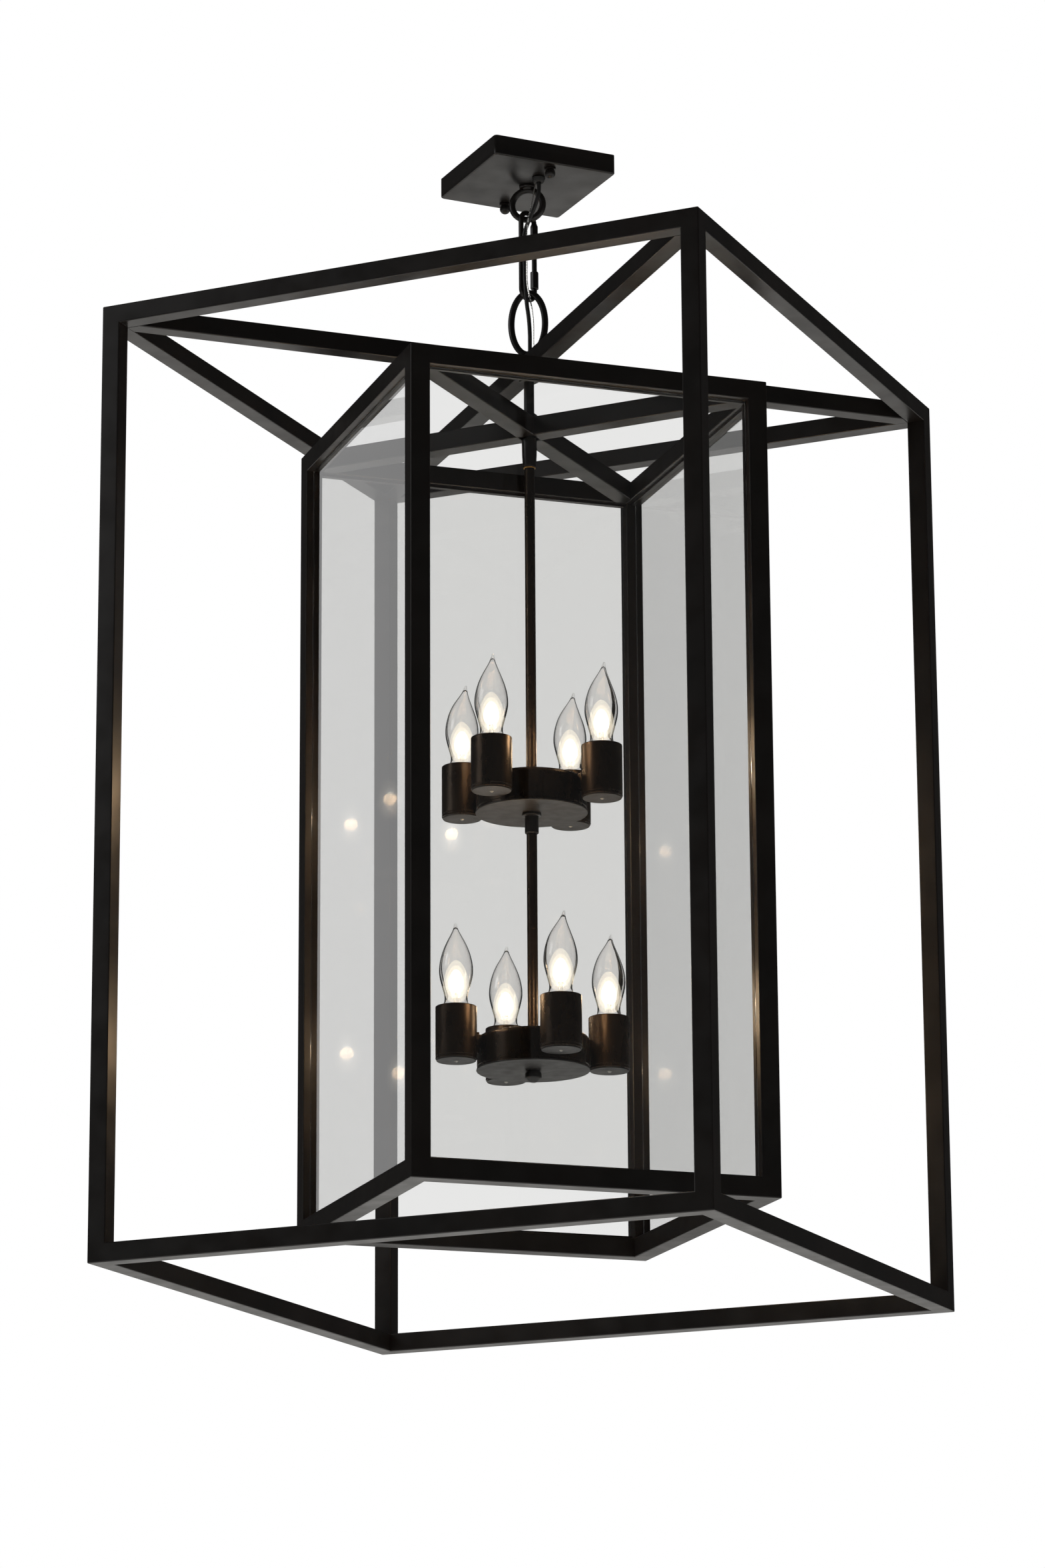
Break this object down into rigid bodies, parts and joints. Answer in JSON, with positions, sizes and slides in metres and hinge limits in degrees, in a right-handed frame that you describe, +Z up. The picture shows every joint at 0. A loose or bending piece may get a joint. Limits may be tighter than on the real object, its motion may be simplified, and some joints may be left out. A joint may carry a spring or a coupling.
{
  "type": "hanging lantern",
  "caption": "Hanging lantern: open square tube cage around a turned, glazed box frame with tiers of candle lamps on a central rod, hung by a link from a square canopy.",
  "frame": {"origin": "centre of the outlet box screw pattern, in the ceiling plane at the top of the canopy", "axes": "+Z up; X and Y along the sides of the cage; everything hangs below the origin"},
  "size_m": [0.6096, 0.6096, 1.1144],
  "materials": {
    "dark_paint": "satin",
    "zinc_steel": "satin",
    "raw_brass": "satin",
    "wire_nut_plastic": "matte",
    "black_plastic": "satin",
    "cord_jacket": "satin",
    "tinned_wire": "satin",
    "socket_insert": "matte",
    "lamp_glass": "polished",
    "pane_glass": "polished"
  },
  "bodies": {
    "canopy": {"canopy_pan": "dark_paint", "mounting_bar": "zinc_steel", "canopy_studs": "zinc_steel", "ball_nuts": "dark_paint", "canopy_ring": "dark_paint", "ring_locknuts": "raw_brass", "cord_bushing": "black_plastic", "wire_nuts": "wire_nut_plastic"},
    "quick_link": {"quick_link": "dark_paint", "supply_cord": "cord_jacket", "ground_wire": "tinned_wire"},
    "link_sleeve": {"link_sleeve": "dark_paint"},
    "glazed_frame": {"frame_posts": "dark_paint", "frame_top_rails": "dark_paint", "frame_bottom_rails": "dark_paint", "frame_cross": "dark_paint", "frame_end_caps": "dark_paint", "glass_pane_1": "pane_glass", "glass_pane_2": "pane_glass", "glass_pane_3": "pane_glass", "glass_pane_4": "pane_glass", "glazing_beads": "dark_paint"},
    "lamp_1": {"lamp_1": "lamp_glass"},
    "lamp_2": {"lamp_2": "lamp_glass"},
    "lamp_3": {"lamp_3": "lamp_glass"},
    "lamp_4": {"lamp_4": "lamp_glass"},
    "lamp_5": {"lamp_5": "lamp_glass"},
    "lamp_6": {"lamp_6": "lamp_glass"},
    "lamp_7": {"lamp_7": "lamp_glass"},
    "lamp_8": {"lamp_8": "lamp_glass"},
    "cage": {"oval_loop": "dark_paint", "stem": "dark_paint", "stem_nuts": "dark_paint", "cage_post_1": "dark_paint", "cage_post_2": "dark_paint", "cage_post_3": "dark_paint", "cage_post_4": "dark_paint", "cage_top_rails": "dark_paint", "cage_bottom_rails": "dark_paint", "cage_cross": "dark_paint", "cage_end_caps": "dark_paint", "cage_bushing": "black_plastic", "bell_coupling": "dark_paint", "bell_seat_ring": "raw_brass", "upper_rod": "dark_paint", "rod_collars": "dark_paint", "drum_nipples": "zinc_steel", "upper_drum": "dark_paint", "upper_drum_cover": "dark_paint", "middle_neck": "dark_paint", "lower_rod": "dark_paint", "lower_drum": "dark_paint", "lower_drum_cover": "dark_paint", "finial": "dark_paint", "cup_arms": "dark_paint", "upper_cups": "dark_paint", "lower_cups": "dark_paint", "cup_plates": "dark_paint", "cup_screws": "zinc_steel", "lamp_sockets": "socket_insert"}
  },
  "joints": [
    {"name": "link_swing", "type": "hinge", "parent": "canopy", "child": "quick_link", "pos_m": [0, 0, -0.0548], "axis": [0.9703, 0.2419, 0], "range_deg": [-10, 10], "deforming": ["supply_cord", "ground_wire"]},
    {"name": "sleeve_unscrew", "type": "slide", "parent": "quick_link", "child": "link_sleeve", "axis": [0, 0, 1], "range_m": [0, 0.012]},
    {"name": "cage_swing", "type": "hinge", "parent": "quick_link", "child": "cage", "pos_m": [0, 0, -0.1382], "axis": [0.309, 0.9511, 0], "range_deg": [-10, 10]},
    {"name": "frame_turn", "type": "hinge", "parent": "cage", "child": "glazed_frame", "pos_m": [0, 0, -0.2635], "axis": [0, 0, 1], "range_deg": [-45, 45]},
    {"name": "lamp_1_lift", "type": "slide", "parent": "cage", "child": "lamp_1", "axis": [0, 0, 1], "range_m": [0, 0.045]},
    {"name": "lamp_2_lift", "type": "slide", "parent": "cage", "child": "lamp_2", "axis": [0, 0, 1], "range_m": [0, 0.045]},
    {"name": "lamp_3_lift", "type": "slide", "parent": "cage", "child": "lamp_3", "axis": [0, 0, 1], "range_m": [0, 0.045]},
    {"name": "lamp_4_lift", "type": "slide", "parent": "cage", "child": "lamp_4", "axis": [0, 0, 1], "range_m": [0, 0.045]},
    {"name": "lamp_5_lift", "type": "slide", "parent": "cage", "child": "lamp_5", "axis": [0, 0, 1], "range_m": [0, 0.045]},
    {"name": "lamp_6_lift", "type": "slide", "parent": "cage", "child": "lamp_6", "axis": [0, 0, 1], "range_m": [0, 0.045]},
    {"name": "lamp_7_lift", "type": "slide", "parent": "cage", "child": "lamp_7", "axis": [0, 0, 1], "range_m": [0, 0.045]},
    {"name": "lamp_8_lift", "type": "slide", "parent": "cage", "child": "lamp_8", "axis": [0, 0, 1], "range_m": [0, 0.045]}
  ]
}
